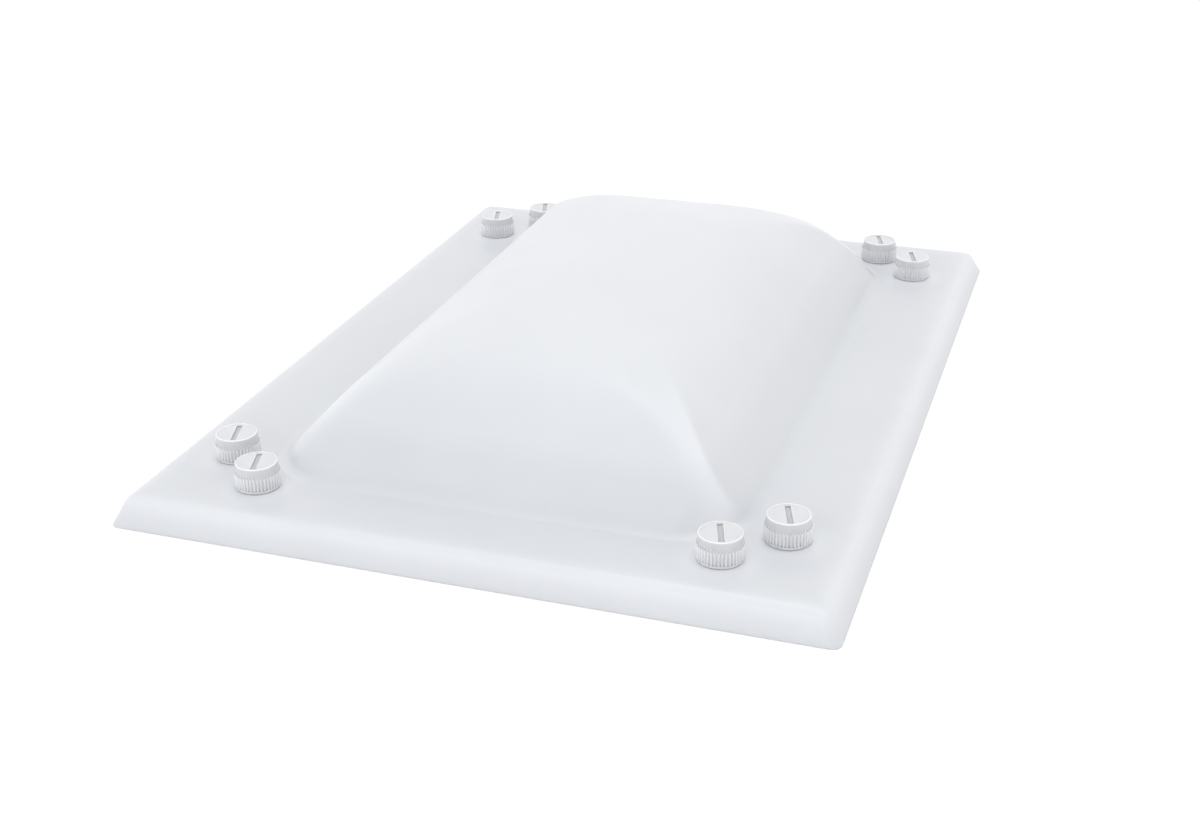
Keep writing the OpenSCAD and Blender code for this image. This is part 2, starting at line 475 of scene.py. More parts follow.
class Board:
    """One material's nodes, added through a single method."""

    def __init__(self, name: str) -> None:
        """Starts an empty material.

        Args:
            name: The material's name.
        """
        self.material: bpy.types.Material = bpy.data.materials.new(name)
        self.material.use_nodes = True
        self.tree = self.material.node_tree
        self.tree.nodes.clear()

    def node(
        self,
        kind: str,
        settings: dict[str, Any],
        sockets: dict[Any, Any],
        output: Any = 0,
    ) -> Signal | None:
        """Adds one node, sets it first and then fills its sockets.

        Args:
            kind: The node's type.
            settings: Its own settings, with a ramp's stops under "stops".
            sockets: Values or signals by socket name or number.
            output: Name or number of the output to return, or None where the node has none.

        Returns:
            The chosen output, if any.
        """
        made = self.tree.nodes.new(kind)
        for key, value in settings.items():
            if key == "stops":
                self._set_stops(made.color_ramp, value)
            else:
                setattr(made, key, value)
        for key, value in sockets.items():
            if isinstance(value, Signal):
                self.tree.links.new(value.socket, made.inputs[key])
            else:
                made.inputs[key].default_value = value
        return None if output is None else Signal(self, made.outputs[output])

    @staticmethod
    def _set_stops(ramp: bpy.types.ColorRamp, stops: Sequence[tuple[float, float]]) -> None:
        """Sets a ramp's grey stops.

        Args:
            ramp: The ramp to fill.
            stops: Place and grey value of each stop.
        """
        while len(ramp.elements) < len(stops):
            ramp.elements.new(0.5)
        for element, (place, grey) in zip(ramp.elements, stops):
            element.position = place
            element.color = (grey, grey, grey, 1)

    def place(self, stretch: Vector = Vector((1, 1, 1))) -> Signal:
        """Returns the piece's own coordinates, stretched along its axes."""
        raw = self.node("ShaderNodeTexCoord", {}, {}, "Object")
        return self.node("ShaderNodeMapping", {}, {"Vector": raw, "Scale": stretch})

    def noise(self, place: Signal, scale: float, detail: float = 3, roughness: float = 0.55) -> Signal:
        """Returns a cloudy noise around 0.5.

        Args:
            place: Coordinates to read it at.
            scale: Clouds per metre.
            detail: Number of finer octaves.
            roughness: Strength of the finer octaves.

        Returns:
            The noise's value.
        """
        sockets = {"Vector": place, "Scale": scale, "Detail": detail, "Roughness": roughness}
        return self.node("ShaderNodeTexNoise", {}, sockets)

    def ramp(self, value: Signal, stops: Sequence[tuple[float, float]]) -> Signal:
        """Returns a value sent through grey stops."""
        return self.node("ShaderNodeValToRGB", {"stops": stops}, {0: value})

    def tint(self, mask: Signal, low: Sequence[float], high: Sequence[float]) -> Signal:
        """Returns a colour that goes from low to high with a mask."""
        return self.over(mask, (*low, 1.0), high)

    def over(self, mask: Signal, under: Any, high: Sequence[float]) -> Signal:
        """Returns a colour that goes from the one under it to a plain colour with a mask."""
        sockets = {MIX_MASK: mask, MIX_UNDER: under, MIX_HIGH: (*high, 1.0)}
        return self.node("ShaderNodeMix", {"data_type": "RGBA"}, sockets, MIX_COLOUR)

    def bump(self, height: Signal, depth: float, below: Signal | None = None) -> Signal:
        """Returns a normal that follows a height.

        Args:
            height: The height, around 0 to 1.
            depth: Real height of one unit.
            below: A normal to work on.

        Returns:
            The bumped normal.
        """
        sockets: dict[Any, Any] = {"Height": height, "Strength": 1.0, "Distance": depth}
        if below is not None:
            sockets["Normal"] = below
        return self.node("ShaderNodeBump", {}, sockets)

    def mark(self, name: str) -> Signal:
        """Returns a number that the mesh itself carries."""
        return self.node("ShaderNodeAttribute", {"attribute_name": name}, {}, "Fac")

    def close(self, sockets: dict[str, Any]) -> bpy.types.Material:
        """Adds the surface shader and the output.

        Args:
            sockets: Values or signals for the surface shader.

        Returns:
            The finished material.
        """
        surface = self.node("ShaderNodeBsdfPrincipled", {}, sockets)
        self.node("ShaderNodeOutputMaterial", {}, {"Surface": surface}, None)
        return self.material


@dataclass(frozen=True)
class OpalAcrylic:
    """Milky acrylic sheet, glossy, paler where drawn thinner, with painted highlights on the hips and the
    crease, painted light round the fixings and in the foot's corners, and a sawn lower edge.
    """

    fixings: tuple[Vector, ...]
    milk: tuple[float, float, float] = (0.583, 0.598, 0.625)
    # Paler tone for thinned sheet, also used for the painted highlights and painted light.
    thin: tuple[float, float, float] = (0.714, 0.730, 0.759)
    sawn: tuple[float, float, float] = (0.56, 0.575, 0.60)
    gloss: float = 0.30
    # Painted light round each fixing, against the shade at the cap's foot.
    strain: float = 0.8
    strain_reach: float = 42 * MM
    strain_depth: float = 2 * MM

    def strained(self, board: Board, place: Signal) -> Signal:
        """Returns painted light round the fixings on the sheet's top, which paints away the shade round the
        caps' feet.

        Args:
            board: The sheet's board.
            place: The sheet's own coordinates.

        Returns:
            The painted light, which is 0 past its reach and on the underside.
        """
        height = board.node("ShaderNodeSeparateXYZ", {}, {0: place}, "Z")
        depth = (self.fixings[0].z - height) * (1 / self.strain_depth)
        # Sums the painted light of every fixing.
        pull = 0.0
        for spot in self.fixings:
            far = board.node("ShaderNodeVectorMath", {"operation": "DISTANCE"}, {0: place, 1: spot}, "Value")
            fade = ((0.45, 1.0), (0.62, 0.55), (0.78, 0.2), (1.0, 0.0))
            pull = pull + board.ramp(far * (1 / self.strain_reach), fade)
        return pull * board.ramp(depth, ((0.5, self.strain), (1.0, 0.0)))

    def material(self) -> bpy.types.Material:
        """Returns the sheet's material."""
        board = Board("opal_acrylic")
        place = board.place()
        clouds = board.noise(place, 7, 4)
        pigment = board.noise(place, 900, 2)
        smear = board.noise(board.place(Vector((1, 0.35, 1))), 26, 5, 0.62)
        sawn = board.mark("sawn_edge")
        uneven = (clouds - 0.5) * 0.45 + (pigment - 0.5) * 0.10
        # Paleness: thinning plus painted highlights and painted light from the mesh mark, painted light round
        # the fixings, and random clouds.
        thin = board.mark("drawn_thin") + self.strained(board, place) + uneven
        body = board.tint(thin, self.milk, self.thin)
        saw_lines = board.noise(board.place(Vector((1, 1, 9))), 420, 3)
        waves = board.noise(place, 9, 1)
        skin = board.noise(place, 160, 2)
        soft = board.bump(waves, 0.35 * MM)
        fine = board.bump(skin * (1 - sawn) + saw_lines * sawn * 6, 0.012 * MM, soft)
        return board.close(
            {
                "Base Color": board.over(sawn * 0.8, body, self.sawn),
                "Roughness": self.gloss + board.ramp(smear, ((0.35, 0.0), (0.75, 1.0))) * 0.09 + sawn * 0.3,
                "Normal": fine,
                "IOR": 1.49,
                "Subsurface Weight": 0.35,
                "Subsurface Radius": (1.0, 1.0, 1.0),
                "Subsurface Scale": 4 * MM,
            }
        )


@dataclass(frozen=True)
class MouldedPlastic:
    """Satin moulded plastic with flow clouds, scuffs and a fine grain.

    Faces that the mesh marks for painted light are paler, and those marked for painted shade are darker.
    """

    name: str
    body: tuple[float, float, float]
    pale: tuple[float, float, float]
    # Tone for painted light: the rim's painted highlight, the lit top disc and the grooves lifted against
    # their shade.
    soft: tuple[float, float, float]
    # Tone for painted shade in the slot and on the rib slopes.
    deep: tuple[float, float, float]
    rough: float

    def material(self) -> bpy.types.Material:
        """Returns the plastic's material."""
        board = Board(self.name)
        place = board.place()
        flow = board.noise(board.place(Vector((1, 1, 0.4))), 60, 4)
        grain = board.noise(place, 2600, 2)
        streaks = board.noise(board.place(Vector((1, 1, 0.25))), 240, 6, 0.7)
        scuffs = board.ramp(streaks, ((0.60, 0.0), (0.74, 1.0)))
        marbling = board.ramp(flow * 0.75 + grain * 0.25, ((0.36, 0.0), (0.64, 1.0)))
        body = board.tint(marbling, self.body, self.pale)
        # Painted light from the mesh mark, over scuffs that are real wear.
        soft = board.mark("soft_face")
        scuffed_and_lit = board.over(soft, board.over(scuffs * 0.25, body, self.pale), self.soft)
        return board.close(
            {
                # Painted shade on the marked faces.
                "Base Color": board.over(board.mark("deep_face"), scuffed_and_lit, self.deep),
                "Roughness": self.rough + (flow - 0.5) * 0.12 + scuffs * 0.10 + soft * 0.06,
                "Normal": board.bump(grain, 0.010 * MM, board.bump(flow, 0.03 * MM)),
                "IOR": 1.50,
                "Subsurface Weight": 1.0,
                "Subsurface Radius": (1.0, 1.0, 1.0),
                "Subsurface Scale": 3 * MM,
            }
        )


@dataclass(frozen=True)
class SealRubber:
    """Dark sealing rubber with a dusty bloom and a fine grain."""

    body: tuple[float, float, float] = (0.020, 0.020, 0.022)
    bloom: tuple[float, float, float] = (0.075, 0.075, 0.078)

    def material(self) -> bpy.types.Material:
        """Returns the rubber's material."""
        board = Board("seal_rubber")
        place = board.place()
        dust = board.noise(place, 180, 6, 0.65)
        grain = board.noise(place, 2200, 3)
        return board.close(
            {
                "Base Color": board.tint(board.ramp(dust, ((0.42, 0.0), (0.78, 0.7))), self.body, self.bloom),
                "Roughness": 0.62 + dust * 0.22,
                "Normal": board.bump(grain, 0.03 * MM),
                "IOR": 1.52,
            }
        )


@dataclass(frozen=True)
class DrawnSteel:
    """Stainless steel with turned lines round the axis and small darker spots."""

    bright: tuple[float, float, float] = (0.66, 0.66, 0.67)
    dull: tuple[float, float, float] = (0.48, 0.48, 0.49)

    def material(self) -> bpy.types.Material:
        """Returns the steel's material."""
        board = Board("drawn_steel")
        turned = board.noise(board.place(Vector((0.15, 0.15, 1))), 2400, 4, 0.6)
        spots = board.ramp(board.noise(board.place(), 420, 5, 0.7), ((0.52, 0.0), (0.72, 1.0)))
        return board.close(
            {
                "Base Color": board.tint(spots * 0.6 + turned * 0.4, self.bright, self.dull),
                "Metallic": 1 - spots * 0.08,
                "Roughness": 0.22 + turned * 0.16 + spots * 0.12,
                "Normal": board.bump(turned, 0.012 * MM),
            }
        )


@dataclass(frozen=True)
class PaleFloor:
    """Matt white studio floor."""

    white: tuple[float, float, float] = (0.93, 0.93, 0.93)

    def material(self) -> bpy.types.Material:
        """Returns the floor's material."""
        board = Board("pale_floor")
        clouds = board.noise(board.place(), 1.2, 2)
        return board.close(
            {
                "Base Color": board.tint(clouds, self.white, tuple(0.995 * tone for tone in self.white)),
                "Roughness": 0.95,
                "Specular IOR Level": 0.1,
            }
        )


def dress(
    piece: bpy.types.Object,
    material: bpy.types.Material,
    slot: str,
    body: str,
    node: str,
) -> None:
    """Gives a finished piece its material and its body, and hides the node it stands for.

    Args:
        piece: The finished piece.
        material: Its material.
        slot: The record's material slot; not used.
        body: The body it rides on.
        node: The node it replaces.
    """
    piece.data.materials.clear()
    piece.data.materials.append(material)
    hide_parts(node)
    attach(piece, body)
    piece.data.calc_loop_triangles()
    log.info("%s rides on %s, %d triangles", piece.name, body, len(piece.data.loop_triangles))


# --------------------------------------------------------------------------------------------
# The formed skin
# --------------------------------------------------------------------------------------------


@dataclass(frozen=True)
class Ring:
    """One level ring of the sheet: a rectangle with round corners, and the sheet's slope there."""

    half_x: float
    half_y: float
    corner: float
    height: float
    slope: float

    def deeper(self, depth: float) -> "Ring":
        """Returns the ring on the sheet's inside, at a depth square to its surface."""
        inward = depth * sin(self.slope)
        return Ring(
            self.half_x - inward,
            self.half_y - inward,
            max(self.corner - inward, TIGHTEST_CORNER),
            self.height - depth * cos(self.slope),
            self.slope,
        )


@dataclass(frozen=True)
class ThinPlaces:
    """How pale the sheet is painted, from 0 for the plain milk tone to about 1. Part of this is thinning from
    forming.
    Most of it is painted light: painted highlights on the hips and the crease, painted light in the foot's
    corners, and a paler flange, shoulder and crown, as where light falls from above.

    A span is the stretch over which a place sets in, as shares of the dome's rise. A turn is the
    sheet's direction in plan, from 0 degrees at an end to 90 degrees at a side.
    """

    # Flange, flank, shoulder and crown: partly thinning from forming, partly painted light on faces that look
    # up.
    flange: float = 0.11
    flange_span: tuple[float, float] = (0.0, 0.012)
    flank: float = 0.08
    flank_span: tuple[float, float] = (0.03, 0.1)
    shoulder: float = 0.21
    shoulder_span: tuple[float, float] = (0.28, 0.46)
    crown: float = 0.18
    crown_span: tuple[float, float] = (0.55, 0.98)
    # Painted highlight along the lip's crease.
    crease: float = 0.51
    crease_reach: float = 10.5 * MM
    crease_inset_share: float = 0.65
    crease_height_share: float = 0.78
    lip_share: float = 0.7
    # Painted highlight along each hip, set towards the side face of the corner rather than on the ridge.
    hip: float = 0.56
    hip_turn: float = 66
    hip_reach_to_end: float = 32
    hip_reach_to_side: float = 11
    hip_start: tuple[float, float] = (0.04, 0.14)
    hip_end: tuple[float, float] = (0.7, 0.98)
    steep: tuple[float, float] = (0.15, 0.6)
    # Painted light that lifts the shade in the hollow at each hip's foot.
    corner: float = 0.95
    corner_turn: float = 45
    corner_turn_reach: float = 24
    corner_rise: float = 0.04
    corner_rise_reach: float = 0.07

    def on_flange(self, share: float, crease_highlight_far: float) -> float:
        """Returns how pale the lip and the flange are painted: the flange paler as where light falls, with a
        painted highlight along the crease.

        Args:
            share: Height as a share of the lip's height.
            crease_highlight_far: Distance from the middle of the crease's painted highlight.

        Returns:
            How pale it is painted.
        """
        upper = self.flange * ease(share, self.lip_share, 1)
        return upper + self.crease * bell(crease_highlight_far, self.crease_reach)

    def on_dome(self, rise: float, normal: Vector) -> float:
        """Returns how pale the dome is painted, partly for thinning and partly as painted light.

        Args:
            rise: Rise above the flange, as a share of the dome's rise.
            normal: The sheet's normal.

        Returns:
            How pale it is painted.
        """
        turn = degrees(atan2(abs(normal.x), abs(normal.y)))
        # Painted highlight along the hip.
        off_hip = turn - self.hip_turn
        hip = bell(off_hip, self.hip_reach_to_side if off_hip > 0 else self.hip_reach_to_end)
        hip *= ease(hypot(normal.x, normal.y), *self.steep)
        hip *= ease(rise, *self.hip_start) * (1 - ease(rise, *self.hip_end))
        # Painted light in the hollow at the hip's foot, against its shade.
        corner = bell(turn - self.corner_turn, self.corner_turn_reach)
        corner *= bell(rise - self.corner_rise, self.corner_rise_reach)
        return (
            self.flange * (1 - ease(rise, *self.flange_span))
            + self.flank * ease(rise, *self.flank_span)
            + self.shoulder * ease(rise, *self.shoulder_span)
            + self.crown * ease(rise, *self.crown_span)
            + self.hip * hip
            + self.corner * corner
        )


@dataclass
class FormedSkin:
    """The opal sheet: splayed lip, rounded crease, flat flange and hipped dome.

    Both faces of the sheet are lofted from level rings, and meet in the lip's sawn edge.
    """

    half_width: float
    half_length: float
    sheet: float = 3 * MM
    lip_height: float = 23 * MM
    lip_splay: float = 11 * MM
    crease: float = 10 * MM
    lip_corner: float = 8 * MM
    side_flange: float = 87.5 * MM
    end_flange: float = 71.5 * MM
    dome_rise: float = 100 * MM
    flank: float = radians(46.5)
    crown: float = radians(15)
    foot: float = 18 * MM
    shoulder: float = 125 * MM
    foot_corner: float = 64 * MM
    hip: float = 20 * MM
    crown_corner: float = 70 * MM
    foot_power: int = 6
    crown_power: int = 5
    end_power: int = 3
    corner_limit: float = 0.95
    hole: float = 5 * MM
    hole_sides: int = 48
    drill_below: float = 8 * MM
    drill_above: float = 5 * MM
    flange_lift: float = 0.04 * MM
    saw_lean: float = 0.03 * MM
    edge_break: float = 0.35 * MM
    sawn_top: float = 0.2 * MM
    corner_steps: int = 20
    straight_cuts: int = 11
    lip_parts: tuple[float, ...] = (0.15, 0.4)
    crease_steps: int = 10
    flange_ways: tuple[float, ...] = (0.02, 0.07, 0.16, 0.3, 0.45, 0.6, 0.75, 0.88, 0.96)
    foot_steps: int = 10
    flank_steps: int = 6
    shoulder_steps: int = 18
    crown_steps: int = 24
    crown_reach: float = 0.97
    smooth: float = radians(30)
    # Where the sheet is painted paler: partly thinning, mostly painted light.
    thin_places: ThinPlaces = ThinPlaces()

    def __post_init__(self) -> None:
        """Works out the section from the sizes."""
        self.dome_x = self.half_width - self.side_flange
        self.dome_y = self.half_length - self.end_flange
        self.lip_angle = atan2(self.lip_height, self.lip_splay)
        self.crease_inset = self.lip_splay + self.crease * tan(self.lip_angle / 2)
        foot_end = self.foot_point(self.flank)
        half_crown = tan(self.crown / 2)
        gain = self.shoulder * (cos(self.crown) - cos(self.flank))
        run = self.shoulder * (sin(self.flank) - sin(self.crown))
        room = self.dome_x - foot_end[0] + foot_end[1] / tan(self.flank) - run
        self.flank_rise = (self.dome_rise - gain - room * half_crown) / (1 - half_crown / tan(self.flank))
        self.flank_inset = foot_end[0] + (self.flank_rise - foot_end[1]) / tan(self.flank)
        self.crown_inset, self.crown_rise, _ = self.shoulder_point(self.crown)
        self.crown_span = self.dome_x - self.crown_inset

    def foot_point(self, slope: float) -> tuple[float, float, float]:
        """Returns the inset, rise and slope of the foot's hollow at a slope."""
        return self.foot * sin(slope), self.foot * (1 - cos(slope)), slope

    def shoulder_point(self, slope: float) -> tuple[float, float, float]:
        """Returns the inset, rise and slope of the shoulder at a slope."""
        return (
            self.flank_inset + self.shoulder * (sin(self.flank) - sin(slope)),
            self.flank_rise + self.shoulder * (cos(slope) - cos(self.flank)),
            slope,
        )

    def crown_point(self, way: float) -> tuple[float, float, float]:
        """Returns the inset, rise and slope of the crown, part of the way to the middle."""
        slope = asin(sin(self.crown) * (1 - way))
        rise = self.crown_span / sin(self.crown) * (cos(slope) - cos(self.crown))
        return self.crown_inset + self.crown_span * way, self.crown_rise + rise, slope

    def section(self) -> Iterator[tuple[float, float, float]]:
        """Yields the dome's section from its foot to its crown, as inset, rise and slope."""
        for step in range(self.foot_steps + 1):
            yield self.foot_point(self.flank * step / self.foot_steps)
        foot_end = self.foot_point(self.flank)
        for step in range(1, self.flank_steps):
            way = step / self.flank_steps
            yield (
                foot_end[0] + (self.flank_inset - foot_end[0]) * way,
                foot_end[1] + (self.flank_rise - foot_end[1]) * way,
                self.flank,
            )
        for step in range(self.shoulder_steps + 1):
            yield self.shoulder_point(self.flank + (self.crown - self.flank) * step / self.shoulder_steps)
        for step in range(1, self.crown_steps + 1):
            yield self.crown_point(self.crown_reach * step / self.crown_steps)

    def dome_ring(self, inset: float, rise: float, slope: float) -> Ring:
        """Returns the ring of the dome at a point of its section.

        The plan's corner is wide at the foot, tight on the flank and wide again at the crown. The
        ends are pulled in towards the middle, so that the crown closes to a point.

        Args:
            inset: Inset from the dome's foot line.
            rise: Rise above the flange.
            slope: The sheet's slope.

        Returns:
            The ring on the outside.
        """
        part = rise / self.dome_rise
        corner = self.hip + (self.foot_corner - self.hip) * (1 - part) ** self.foot_power
        corner += self.crown_corner * part**self.crown_power
        way = max(0.0, inset - self.crown_inset) / self.crown_span
        half_x = self.dome_x - inset
        half_y = self.dome_y - inset - (self.dome_y - self.dome_x) * way**self.end_power
        corner = min(corner, self.corner_limit * min(half_x, half_y))
        return Ring(half_x, half_y, corner, self.lip_height + rise, slope)

    def lip_ring(self, inset: float, height: float, slope: float) -> Ring:
        """Returns a ring of the lip or its crease at an inset from the lip's lower edge."""
        return Ring(self.half_width - inset, self.half_length - inset, self.lip_corner, height, slope)

    def outer_rings(self) -> Iterator[Ring]:
        """Yields the outside's rings from above the sawn edge up to the crown."""
        for part in self.lip_parts:
            height = part * self.lip_height
            yield self.lip_ring(height / tan(self.lip_angle), height, self.lip_angle)
        for step in range(self.crease_steps + 1):
            slope = self.lip_angle * (1 - step / self.crease_steps)
            inset = self.crease_inset - self.crease * sin(slope)
            yield self.lip_ring(inset, self.lip_height - self.crease + self.crease * cos(slope), slope)
        outer = self.lip_ring(self.crease_inset, self.lip_height, 0)
        for way in self.flange_ways:
            yield Ring(
                outer.half_x + (self.dome_x - outer.half_x) * way,
                outer.half_y + (self.dome_y - outer.half_y) * way,
                outer.corner + (self.foot_corner - outer.corner) * way,
                self.lip_height + self.flange_lift * way,
                0,
            )
        for inset, rise, slope in self.section():
            yield self.dome_ring(inset, rise, slope)

    def rings(self) -> tuple[list[Ring], list[Ring]]:
        """Returns the rings of both faces, each from the sawn edge up."""
        outside = list(self.outer_rings())
        inside = [ring.deeper(self.sheet) for ring in outside]
        sawn_inset = self.sheet / sin(self.lip_angle)
        corner = self.lip_corner - self.sheet * sin(self.lip_angle)
        outside.insert(0, self.lip_ring(0, 0, self.lip_angle))
        inner_x, inner_y = self.half_width - sawn_inset, self.half_length - sawn_inset
        inside.insert(0, Ring(inner_x, inner_y, corner, self.saw_lean, self.lip_angle))
        return outside, inside

    def lay_ring(self, bench: Bench, ring: Ring, number: int) -> None:
        """Adds one ring of edges and marks its points with its number.

        Args:
            bench: The sheet's bench, in edit mode.
            ring: The ring to add.
            number: Its place in the row of rings.
        """
        middle = Vector((0, 0, ring.height))
        bpy.ops.mesh.select_all(action="DESELECT")
        bpy.ops.mesh.primitive_plane_add(size=1, location=middle)
        bench.grow(2 * ring.half_x, 2 * ring.half_y, 1, middle)
        bpy.ops.mesh.bevel(affect="VERTICES", offset=ring.corner, segments=self.corner_steps)
        bpy.ops.mesh.delete(type="ONLY_FACE")
        mesh = bmesh.from_edit_mesh(bench.thing.data)
        level = mesh.verts.layers.int["level"]
        for edge in mesh.edges:
            edge.select_set(False)
        for edge in mesh.edges:
            first, second = edge.verts
            straight = first.co.x * second.co.x < 0 or first.co.y * second.co.y < 0
            if straight and first[level] == 0:
                edge.select_set(True)
        bmesh.update_edit_mesh(bench.thing.data)
        bpy.ops.mesh.subdivide(number_cuts=self.straight_cuts)
        mesh = bmesh.from_edit_mesh(bench.thing.data)
        level = mesh.verts.layers.int["level"]
        for point in mesh.verts:
            if point[level] == 0:
                point[level] = number

    def pick_rings(self, bench: Bench, numbers: Sequence[int]) -> None:
        """Selects the edges of some rings by their numbers."""
        bpy.ops.mesh.select_all(action="DESELECT")
        mesh = bmesh.from_edit_mesh(bench.thing.data)
        level = mesh.verts.layers.int["level"]
        for edge in mesh.edges:
            start, end = (point[level] for point in edge.verts)
            if start == end and start in numbers:
                edge.select_set(True)
        bmesh.update_edit_mesh(bench.thing.data)

    def join_rings(self, bench: Bench, first: int, second: int) -> None:
        """Bridges two rings by their numbers."""
        self.pick_rings(bench, (first, second))
        bpy.ops.mesh.bridge_edge_loops()

    def close_crown(self, bench: Bench, number: int) -> None:
        """Closes the small ring at the crown with one level face."""
        self.pick_rings(bench, (number,))
        bpy.ops.mesh.edge_face_add()

    def loft(self) -> Bench:
        """Makes both faces of the sheet and the sawn edge between them.

        Returns:
            The bench with the closed skin.
        """
        clear_bench()
        bpy.ops.mesh.primitive_plane_add(size=1)
        bench = Bench("formed_opal_skin")
        bench.edit()
        bpy.ops.mesh.delete(type="VERT")
        bmesh.from_edit_mesh(bench.thing.data).verts.layers.int.new("level")
        bpy.ops.mesh.select_mode(type="EDGE")
        outside, inside = self.rings()
        for number, ring in enumerate(outside + inside, start=1):
            self.lay_ring(bench, ring, number)
        crown, last = len(outside), len(outside) + len(inside)
        for number in range(1, last):
            if number != crown:
                self.join_rings(bench, number, number + 1)
        self.join_rings(bench, 1, crown + 1)
        self.close_crown(bench, crown)
        self.close_crown(bench, last)
        bench.face_outwards()
        return bench

    def break_sawn_edge(self, bench: Bench) -> None:
        """Takes the sharpness off both corners of the sawn edge."""
        bench.pick_faces(lambda middle, normal: middle.z < 2 * self.saw_lean)
        bpy.ops.mesh.region_to_loop()
        bpy.ops.mesh.bevel(affect="EDGES", offset=self.edge_break, segments=2)

    def drill(self, bench: Bench, spots: Sequence[Vector]) -> None:
        """Drills the screw holes through the flange.

        Args:
            bench: The solid skin.
            spots: The fixings' axes.
        """
        cutters = []
        low, high = self.lip_height - self.drill_below, self.lip_height + self.drill_above
        for spot in spots:
            cutter = Bench.round_bar("drill", self.hole_sides, self.hole, low, high)
            cutter.leave()
            bpy.ops.transform.translate(value=(spot.x, spot.y, 0))
            bpy.ops.object.transform_apply(location=True, rotation=True, scale=True)
            cutters.append(cutter)
        clear_bench()
        for cutter in cutters:
            cutter.thing.select_set(True)
        bpy.context.view_layer.objects.active = cutters[0].thing
        bpy.ops.object.join()
        bench.combine(cutters[0], "DIFFERENCE")

    def drawn_thin(self, point: Vector, normal: Vector) -> float:
        """Returns how pale the sheet is painted at a point, for thinning and for painted light.

        Args:
            point: The point.
            normal: The sheet's normal there.

        Returns:
            0 for the plain milk tone, up to about 1 at the crown, at the painted highlights on the hips and
            the crease, and at the painted light in the foot's corners.
        """
        thin = self.thin_places
        if point.z < self.lip_height + 2 * self.flange_lift:
            inset = min(self.half_width - abs(point.x), self.half_length - abs(point.y))
            across = inset - thin.crease_inset_share * self.crease_inset
            up = point.z - thin.crease_height_share * self.lip_height
            return thin.on_flange(point.z / self.lip_height, hypot(across, up))
        return thin.on_dome((point.z - self.lip_height) / self.dome_rise, normal)

    def mark_sheet(self, piece: bpy.types.Object) -> None:
        """Marks the sawn edge, and the places painted paler for thinning and for painted light, for the
        finish.
        """
        sawn = piece.data.attributes.new("sawn_edge", "FLOAT", "FACE")
        for face, mark in zip(piece.data.polygons, sawn.data):
            low = face.center.z < self.sawn_top
            mark.value = 1.0 if low and face.normal.z < -0.5 else 0.0
        # Per point: thinning plus painted highlights and painted light.
        thin = piece.data.attributes.new("drawn_thin", "FLOAT", "POINT")
        for point, mark in zip(piece.data.vertices, thin.data):
            mark.value = self.drawn_thin(point.co, point.normal)

    def build(self, spots: Sequence[Vector]) -> bpy.types.Object:
        """Builds the skin.

        Args:
            spots: The fixings' axes.

        Returns:
            The finished skin.
        """
        bench = self.loft()
        self.break_sawn_edge(bench)
        self.drill(bench, spots)
        piece = bench.finish(self.smooth)
        self.mark_sheet(piece)
        return piece


# --------------------------------------------------------------------------------------------
# The fixings
# --------------------------------------------------------------------------------------------


